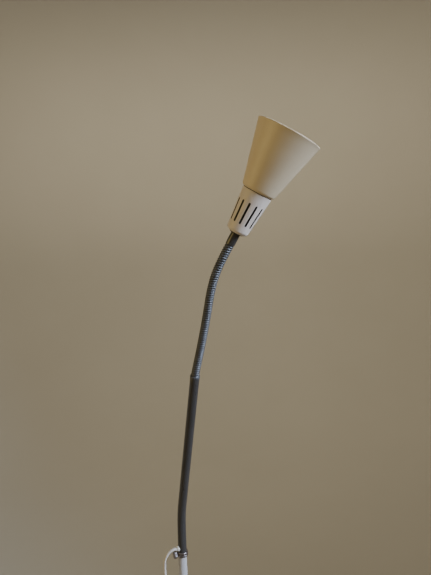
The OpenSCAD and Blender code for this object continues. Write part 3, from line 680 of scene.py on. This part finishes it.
goose_rows = [int(round((cut - (RIB_PITCH / 2 if 0 < n < 8 else 0)) * RIB_STEPS / RIB_PITCH))
              for n, cut in enumerate(goose_cuts)]
goose_nodes = ["gooseneck_foot"] + ["gooseneck_link_%d" % k for k in range(1, 8)] + ["gooseneck_tip"]
for k in range(8):
    skin = make_piece("gooseneck_skin_%d" % (k + 1), *gooseneck_piece(goose_rows[k], goose_rows[k + 1]),
                      None, dark_nickel, "dark_plating", sharp=75)
    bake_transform(skin)
    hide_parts(goose_nodes[k], *(["gooseneck_tip"] if k == 7 else []))

# ---------------------------------------------------------------- head

turned("neck_ferrule", [(5.0, 0, 0.15), (5.85, 0, 0.35), (5.85, 29.4, 0.3), (3.2, 29.4, 0.3), (3.2, 4, 0.3),
                        (5.0, 4, 0.3)],
       "head", dark_paint, "dark_paint", at=head_at + TIP_LEN * HEAD_DIR, along=HEAD_DIR, sides=80, steps=4,
       replaces=["head_ferrule"])
turned("neck_washer", [(5.95, 0.1, 0.1), (8.2, 0.1, 0.3), (8.8, 0.7, 0.2), (8.8, 1.15, 0.1),
                       (5.95, 1.15, 0.1)],
       "head", black_plastic, "black_plastic", at=head_at + (NECK_AT - 1.2) * HEAD_DIR, along=HEAD_DIR,
       sides=96, steps=4, replaces=["neck_cap"])

SLOTS, SLOT_W, SLOT_LOW, SLOT_LEN, SLOT_TURN = 12, 2.4, 12.2, 27.0, 20.5
COVER_LEN, COVER_LOW_R, COVER_TOP_R, COVER_WALL, COVER_CORNER = 53.0, 13.9, 18.6, 0.9, 5.0


def slotted_cover():
    """The socket cover with real slots through its wall."""
    outer, inner = [(6.1, 0.0), (7.6, 0.0)], [(6.1, 2.5), (7.6, 2.5)]
    for k in range(9):
        a = math.radians(-90 + 85 * k / 8)
        reach = COVER_CORNER - COVER_WALL
        outer.append((COVER_LOW_R - COVER_CORNER + COVER_CORNER * math.cos(a),
                      COVER_CORNER + COVER_CORNER * math.sin(a)))
        inner.append((COVER_LOW_R - COVER_CORNER + reach * math.cos(a),
                      COVER_CORNER + 0.5 + reach * math.sin(a)))
    ease = [0, 0.1, 0.3, 0.6, 1.0]
    heights = ([7.5, 10] + [SLOT_LOW + e for e in ease] + list(np.linspace(15.5, 36.5, 8))
               + [SLOT_LOW + SLOT_LEN - e for e in reversed(ease)] + [42, 46.5, 50, 51.3])
    slope = (COVER_TOP_R - COVER_LOW_R) / (COVER_LEN - COVER_CORNER)
    for z in heights:
        r = COVER_LOW_R + slope * (z - COVER_CORNER)
        outer.append((r, z))
        inner.append((r - COVER_WALL, z))
    for turn_in, z in ((0.15, 52.0), (0.45, 52.5), (0.75, 52.9)):
        outer.append((COVER_TOP_R - turn_in, z))
        inner.append((COVER_TOP_R - COVER_WALL - 0.25, z))

    def half_width(z):
        near = min(z - SLOT_LOW, SLOT_LOW + SLOT_LEN - z)
        if near >= 1:
            return SLOT_W / 2
        return max(0.35, math.sqrt(max(0.0, 1 - (1 - max(near, 0)) ** 2)) * SLOT_W / 2)

    between = 6
    per_slot = between + 1
    count = SLOTS * per_slot
    sector = 2 * math.pi / SLOTS

    def row(r, z):
        edge = math.asin(half_width(z) / max(r, 12.0))
        angles = []
        for n in range(SLOTS):
            middle = math.radians(SLOT_TURN) + n * sector
            angles += [middle - edge] + [middle + edge + (sector - 2 * edge) * k / between
                                         for k in range(between)]
        return [(r * math.cos(a), r * math.sin(a), z) for a in angles]

    rows = [row(r, z) for r, z in outer] + [row(r, z) for r, z in reversed(inner)]
    n_out, total = len(outer), len(outer) + len(inner)
    verts = [v for ring in rows for v in ring]
    partner = lambda i: total - 1 - i
    tall = [z for _, z in outer]
    cut_rows = {i for i in range(n_out - 1)
                if tall[i] >= SLOT_LOW - 1e-6 and tall[i + 1] <= SLOT_LOW + SLOT_LEN + 1e-6}
    faces = []
    for i in range(total):
        j = (i + 1) % total
        opened = i in cut_rows or (i >= n_out and partner(j) in cut_rows and partner(i) - 1 in cut_rows)
        for k in range(count):
            if opened and k % per_slot == 0:
                continue
            m = (k + 1) % count
            faces.append((i * count + k, i * count + m, j * count + m, j * count + k))
    low, high = min(cut_rows), max(cut_rows) + 1
    for n in range(SLOTS):
        left, right = n * per_slot, n * per_slot + 1
        for i in sorted(cut_rows):
            a, b = partner(i), partner(i + 1)
            faces.append((i * count + left, (i + 1) * count + left, b * count + left, a * count + left))
            faces.append((i * count + right, a * count + right, b * count + right, (i + 1) * count + right))
        for i, flip in ((low, False), (high, True)):
            a = partner(i)
            face = (i * count + left, a * count + left, a * count + right, i * count + right)
            faces.append(face[::-1] if flip else face)
    return place(verts, head_at + NECK_AT * HEAD_DIR, HEAD_DIR), faces


neck = make_piece("slotted_neck", *slotted_cover(), "head", cover_paint, "cover_paint", ["socket_cover"],
                  sharp=35, bevel=0.12)
# Faces inside the cover take the near-black second material: painted shade, so the slots look dark from
# outside.
neck.data.materials.append(neck_inside)
for polygon in neck.data.polygons:
    spot = vec(*polygon.center) / MM - head_at
    z = spot @ HEAD_DIR - NECK_AT
    skin_r = COVER_LOW_R + (COVER_TOP_R - COVER_LOW_R) * (z - COVER_CORNER) / (COVER_LEN - COVER_CORNER)
    reach = np.linalg.norm(spot - (spot @ HEAD_DIR) * HEAD_DIR)
    if z > COVER_CORNER and reach < skin_r - 0.3:
        polygon.material_index = 1

# The shade: a rolled lip below, a straight cone and a bead round the mouth
shade_profile = [(HOLE_R, 0)]
for k in range(9):
    a = math.radians(-90 + 76 * k / 8)
    shade_profile.append((LIP_R - LIP_ROUND * (1 - math.cos(a)), LIP_ROUND * (1 + math.sin(a))))
outer_low = shade_profile[-1]
for f in np.linspace(0, 1, 12)[1:]:
    shade_profile.append((outer_low[0] + (MOUTH_R - 0.5 - outer_low[0]) * f,
                          outer_low[1] + (SHADE_LEN - 2.2 - outer_low[1]) * f))
for k in range(11):
    a = math.radians(-25 + 215 * k / 10)
    shade_profile.append((MOUTH_R - 0.85 + 0.85 * math.cos(a), SHADE_LEN - 0.85 + 0.85 * math.sin(a)))
inner_top = (MOUTH_R - 1.65, SHADE_LEN - 2.4)
for f in np.linspace(0, 1, 12)[:-1]:
    shade_profile.append((inner_top[0] + (LIP_R - SHEET - inner_top[0]) * f,
                          inner_top[1] + (LIP_ROUND + 0.4 - inner_top[1]) * f))
for k in range(7):
    a = math.radians(-14 - 76 * k / 6)
    shade_profile.append((LIP_R - LIP_ROUND + (LIP_ROUND - SHEET) * math.cos(a),
                          LIP_ROUND + (LIP_ROUND - SHEET) * math.sin(a)))
shade_profile.append((HOLE_R, SHEET))
verts, faces = lathe(shade_profile, 176)
make_piece("shade_cone", place(verts, head_at + LIP_AT * HEAD_DIR, HEAD_DIR), faces, "head", shade_paint,
           "shade_paint", ["shade"])

# The reflector bulb: silvered sides and a frosted front
reflector = [(6.6, 0), (6.7, 1), (7.4, 4), (8.2, 7), (9.6, 10.2), (11.6, 13.6), (14, 17), (16.4, 20.6),
             (18.2, 24), (19.1, 26.6), (19.5, 29), (18.7, 29), (18.3, 26.8), (17.4, 24.3), (15.7, 21),
             (13.4, 17.6), (11.0, 14.2), (9.0, 10.8), (7.6, 7.6), (6.8, 4.6), (6.1, 1)]
verts, faces = lathe(reflector, 96)
make_piece("bulb_reflector", place(verts, head_at + (LIP_AT - 1) * HEAD_DIR, HEAD_DIR), faces, "head",
           silvered, "bulb_glass")
front = [(19.5, 29.1), (19.5, 33)]
front += [(16.5 + 3 * math.cos(math.radians(a)), 33 + 3 * math.sin(math.radians(a)))
          for a in (12, 26, 40, 54, 66)]
front += [(15.2, 36.4), (12.6, 37.3), (9.6, 38.1), (6.4, 38.7), (3.2, 39.1), (0, 39.2)]
inside = [(0, 38.2), (3.2, 38.1), (6.4, 37.7), (9.6, 37.1), (12.6, 36.3), (15.2, 35.3), (17.6, 34),
          (18.5, 32.6), (18.5, 29.1)]
verts, faces = lathe(front + inside, 96)
make_piece("bulb_front", place(verts, head_at + (LIP_AT - 1) * HEAD_DIR, HEAD_DIR), faces, "head",
           frosted, "bulb_glass", ["bulb_glass"])

# ---------------------------------------------------------------- the switch on the lead


def at_switch(points):
    """Switch coordinates are X away from the pole, Y sideways, Z up."""
    basis = np.stack([LEAD_OUT, LEAD_SIDE, UP], axis=1)
    return np.asarray(points, float) @ basis.T + out_of_pole((SWITCH_AT, 0, SWITCH_Z))


def slab_ring(x, length, width, corner):
    ring = block_outline(length, width, corner)
    return np.column_stack([np.full(len(ring), x), ring[:, 1], ring[:, 0]])


def shell_rings(sign):
    """The outside of half of the switch, from the parting line to its face."""
    rings = [slab_ring(sign * 0.05, 63.4, 23.4, 6.7), slab_ring(sign * 0.35, 64, 24, 7),
             slab_ring(sign * 2.5, 64, 24, 7), slab_ring(sign * 4.6, 63.8, 23.8, 6.9)]
    for k in range(1, 8):
        a = math.radians(90 * k / 7)
        inset = 3.2 * (1 - math.cos(a))
        rings.append(slab_ring(sign * (4.8 + 3.2 * math.sin(a)), 63.8 - 2 * inset, 23.8 - 2 * inset,
                               6.9 - 0.8 * inset))
    return rings


front_rings = shell_rings(1) + [slab_ring(8.0, 22, 13.2, 2.6), slab_ring(7.95, 18.0, 11.0, 1.8),
                                slab_ring(7.6, 17.1, 10.1, 1.2), slab_ring(7.0, 16.8, 9.8, 1.0),
                                slab_ring(1.2, 16.8, 9.8, 1.0), slab_ring(1.2, 58, 18, 4.5),
                                slab_ring(0.05, 59.5, 19.5, 5)]
verts, faces = loft(front_rings, closed=True)
switch_front = make_piece("switch_cap", at_switch(verts), faces, "stand", white_plastic, "white_plastic",
                          ["switch_front"])
back_rings = [slab_ring(-6.0, 8, 4, 1.5), slab_ring(-6.0, 58, 18, 4.5), slab_ring(-0.05, 59.5, 19.5, 5)]
back_rings += shell_rings(-1) + [slab_ring(-8.0, 50, 11, 3), slab_ring(-8.0, 8, 4, 1.5)]
verts, faces = loft(back_rings)
switch_back = make_piece("switch_base", at_switch(verts), faces, "stand", white_plastic, "white_plastic",
                         ["switch_back"])


def screw_heads():
    """Two slotted screw heads in the back of the switch."""
    verts, faces = [], []
    for z in (-24, 24):
        for side in (1, -1):
            a = np.radians(np.linspace(14, 166, 15)) * side
            rim = np.stack([2.1 * np.cos(a), 2.1 * np.sin(a)], axis=1)
            rim = np.vstack([rim, [(-2.0, 0.42 * side), (2.0, 0.42 * side)]])
            rings = [np.column_stack([np.full(len(rim), x), rim[:, 0] * f, z + rim[:, 1] * f])
                     for x, f in ((-7.7, 1), (-8.15, 1), (-8.3, 0.9))]
            v, f = loft(rings)
            faces += [tuple(i + len(verts) for i in face) for face in f]
            verts += list(v)
    return at_switch(verts), faces


make_piece("switch_screw_heads", *screw_heads(), "stand", steel, "steel", ["switch_screws"], sharp=30)


def rocker():
    """The rocker: a dished face and round ends, turned from its pivot by the resting tilt."""
    face = [(4.15 + 1.0 * (v / 6.4) ** 2, v) for v in np.linspace(-6.3, 6.3, 17)]
    start, stop = math.atan2(6.75, 4.75), math.atan2(7.7, -1.6)
    end = [(7.9 * math.cos(a) - 0.02, 7.9 * math.sin(a)) for a in np.linspace(start, stop, 9)]
    outline = np.array(face + end + [(u, -v) for u, v in reversed(end)])
    middle = outline.mean(axis=0)
    tilt = math.radians(6)
    rings = []
    for y, grow in ((-4.5, 0.93), (-4.38, 0.97), (-4.1, 1), (4.1, 1), (4.38, 0.97), (4.5, 0.93)):
        uv = middle + (outline - middle) * grow
        x = 4.6 + uv[:, 0] * math.cos(tilt) - uv[:, 1] * math.sin(tilt)
        z = uv[:, 0] * math.sin(tilt) + uv[:, 1] * math.cos(tilt)
        rings.append(np.column_stack([x, np.full(len(uv), y), z]))
    verts, faces = loft(rings)
    return at_switch(verts), faces


switch_rocker = make_piece("switch_rocker_cap", *rocker(), "rocker", rocker_plastic, "rocker_plastic",
                           ["switch_rocker"])


def sleeve(length, low_r, top_r, at, along, turn):
    """A tapered strain relief with flexing grooves and an oval hole for the lead."""
    sides = 48
    a = np.arange(sides) * 2 * math.pi / sides
    flat = lead_hole(0.1, sides)
    rows = []
    grooves = max(3, int(length / 4.4))
    profile = [(low_r, 0.05), (low_r, 1.6)]
    for k in range(grooves):
        z = 2.6 + k * (length - 5.2) / (grooves - 1)
        r = low_r + (top_r - low_r) * z / length
        profile += [(r + 0.05, z - 0.75), (r - 0.5, z - 0.5), (r - 0.55, z + 0.5), (r - 0.02, z + 0.75)]
    profile += [(top_r, length - 0.5), (top_r - 0.35, length - 0.08)]
    for r, z in profile:
        rows.append(np.stack([r * np.cos(a), r * np.sin(a), np.full(sides, z)], axis=1))
    for z in (length - 0.08, 0.05):
        rows.append(np.column_stack([flat, np.full(sides, z)]))
    verts, faces = loft(rows, closed=True)
    return place(verts, at, along, turn), faces


SWITCH_SLEEVE = (20, 5.0, 3.7)
sleeve_up = make_piece("switch_sleeve_high",
                       *sleeve(*SWITCH_SLEEVE, out_of_pole((SWITCH_AT, 0, SWITCH_Z + SWITCH_HALF)), UP,
                               math.radians(LEAD_TURN)),
                       "stand", white_plastic, "white_plastic", ["switch_sleeves"], sharp=50)
sleeve_down = make_piece("switch_sleeve_low",
                         *sleeve(*SWITCH_SLEEVE, out_of_pole((SWITCH_AT, 0, SWITCH_Z - SWITCH_HALF)), -UP,
                                 math.radians(360 - LEAD_TURN)),
                         "stand", white_plastic, "white_plastic", sharp=50)

# ---------------------------------------------------------------- the plug and the coil's tie


def plug_shell():
    """A flat two-pin plug, lofted from the lead's end to its face."""
    rows = smooth_path([(0, 13, 11), (4, 14.6, 11.4), (9, 18.8, 12.2), (14, 24.4, 13.1), (19, 28.8, 13.6),
                        (24, 30, 13.7), (31, 30, 13.7)], 4)
    rows = [(0, 11.4, 9.4)] + [(0.15, 12.4, 10.4)] + [tuple(r) for r in rows[1:]]
    rows += [(33.6, 29.8, 13.5), (34.9, 29.0, 12.9), (35.7, 27.8, 11.8), (36, 26.2, 10.2)]
    rings = []
    for y, width, height in rows:
        ring = block_outline(width, height, min(4.6, height / 2 - 0.2))
        rings.append(np.column_stack([-ring[:, 0], np.full(len(ring), y), ring[:, 1]]))
    verts, faces = loft(rings)
    return verts + PLUG_AT, faces


plug = make_piece("plug_shell", *plug_shell(), "stand", white_plastic, "white_plastic", ["plug_body"],
                  sharp=50)
plug_sleeve = make_piece("plug_strain_relief", *sleeve(22, 5.2, 3.7, PLUG_AT, (0, -1, 0), math.radians(90)),
                         "stand", white_plastic, "white_plastic", ["plug_sleeve"], sharp=50)


def pin_pair(profile):
    verts, faces = [], []
    for x in (-9.3, 9.3):
        v, f = lathe(profile, 40)
        faces += [tuple(i + len(verts) for i in face) for face in f]
        verts += list(place(v, PLUG_AT + vec(x, 36, 0), (0, 1, 0)))
    return verts, faces


tip_profile = [(0, 9.6), (1.97, 9.6), (2, 9.8), (2, 17.2), (1.86, 17.9), (1.5, 18.5), (0.9, 18.9), (0, 19.02)]
sleeve_profile = [(0, -0.4), (2.05, -0.4), (2.05, 0.3), (1.9, 0.5), (1.9, 9.5), (1.8, 9.7), (0, 9.7)]
pins = make_piece("plug_pin_tips", *pin_pair(tip_profile), "stand", chrome, "plating", ["plug_pins"],
                  sharp=50)
pin_sleeves = make_piece("plug_pin_sleeves", *pin_pair(sleeve_profile), "stand", white_plastic,
                         "white_plastic", sharp=50)


def tie_band():
    """A soft band round the coil, with its end lying on top."""
    width, height, thick = 3 * TURN_GAP + 1.6, 2 * TURN_GAP + 0.2, 0.6
    middle = vec(COIL_MID[0] + COIL_R, COIL_MID[1], thick + height / 2)
    rings = []
    for y, grow in ((-4.2, 0), (-4.5, 0.15), (-4.5, 0.45), (-4.2, 0.6), (4.2, 0.6), (4.5, 0.45), (4.5, 0.15),
                    (4.2, 0)):
        ring = block_outline(width + 2 * grow, height + 2 * grow, 2.2 + grow)
        rings.append(np.column_stack([ring[:, 0], np.full(len(ring), y), ring[:, 1]]) + middle)
    verts, faces = loft(rings, closed=True)
    flap = []
    for x, drop in ((-5.0, 0.45), (-4.7, 0.1), (-3.9, 0), (2.0, 0), (5.4, 0.0), (7.2, 0.25), (7.6, 0.5)):
        ring = block_outline(8.6, 0.62, 0.28, 4)
        flap.append(np.column_stack([np.full(len(ring), x), ring[:, 0], ring[:, 1] - drop])
                    + middle + vec(0, 0, height / 2 + thick + 0.3))
    v, f = loft(flap)
    faces = list(faces) + [tuple(i + len(verts) for i in face) for face in f]
    return np.concatenate([verts, v]), faces


tie = make_piece("coil_band", *tie_band(), "stand", tie_plastic, "black_plastic", ["coil_tie"], sharp=50)

# ---------------------------------------------------------------- the CAD pieces that stay

KEPT = {
    iron: ["base_weight"],
    steel: ["base_washer", "base_nut", "base_stud", "pole_joint", "arm_pin", "head_nut", "terminal_screws"],
    black_plastic: ["pole_bush"],
    lead_plastic: ["arm_lead", "head_wires"],
    holder_plastic: ["lampholder", "shade_ring"],
    brass: ["thread_shell", "centre_contact", "switch_contacts", "bulb_tip"],
    bulb_metal: ["bulb_cap"],
}
for material, names in KEPT.items():
    for name in names:
        for material_slot in frame["nodes"][name].material_slots:
            material_slot.material = material

# ---------------------------------------------------------------- floor, backdrop and light


def studio():
    """A pale floor that curves up into a pale wall, far from the lamp on every side."""
    flat, curve, top = 2.6, 1.6, 6.5
    rows = [(0, 0), (flat, 0)]
    rows += [(flat + curve * math.sin(math.radians(a)), curve - curve * math.cos(math.radians(a)))
             for a in range(6, 91, 6)]
    rows += [(flat + curve, top)]
    verts, faces = lathe([(r / MM, (z - 0.0006) / MM) for r, z in rows], 96, closed=False)
    mesh = bpy.data.meshes.new("studio")
    mesh.from_pydata([tuple(v) for v in verts * MM], [], [tuple(f) for f in faces])
    mesh.shade_smooth()
    floor = bpy.data.objects.new("studio", mesh)
    bpy.context.scene.collection.objects.link(floor)
    mesh.materials.append(surface("studio_floor", (0.52, 0.50, 0.45), (0.49, 0.47, 0.42), (0.75, 0.9),
                                  grain=60, bump=0.02, patches=0.6))


studio()


def lamp(name, at, aim, size, energy, colour, spread=180):
    data = bpy.data.lights.new(name, "AREA")
    data.shape = "RECTANGLE"
    data.size, data.size_y = size
    data.energy = energy
    data.color = colour
    data.spread = math.radians(spread)
    light = bpy.data.objects.new(name, data)
    bpy.context.scene.collection.objects.link(light)
    light.location = at
    light.rotation_mode = "QUATERNION"
    light.rotation_quaternion = (Vector(aim) - Vector(at)).to_track_quat("-Z", "Y")


lamp("window", (1.6, -0.8, 2.2), (0.08, -0.12, 1.62), (1.3, 1.7), 14.5, (0.72, 0.83, 1.0), 44)
lamp("room_left", (-1.9, -0.7, 1.4), (0.0, 0.0, 1.3), (1.2, 1.2), 5.5, (1.0, 0.75, 0.27), 110)
lamp("ceiling", (0.0, -0.2, 3.6), (0.0, 0.0, 0.6), (2.6, 2.6), 4.5, (1.0, 0.94, 0.84))
lamp("wall", (0.0, 1.6, 3.4), (0.0, 4.2, 1.7), (2.8, 1.0), 54, (1.0, 0.87, 0.64))
lamp("wall_near", (0.0, -1.7, 3.4), (0.0, -4.2, 1.7), (2.8, 1.0), 22, (1.0, 0.90, 0.74))

world = bpy.data.worlds.new("studio_air")
bpy.context.scene.world = world
world.use_nodes = True
world.node_tree.nodes["Background"].inputs["Color"].default_value = (1.0, 0.94, 0.84, 1)
world.node_tree.nodes["Background"].inputs["Strength"].default_value = 0.14

bpy.context.view_layer.update()
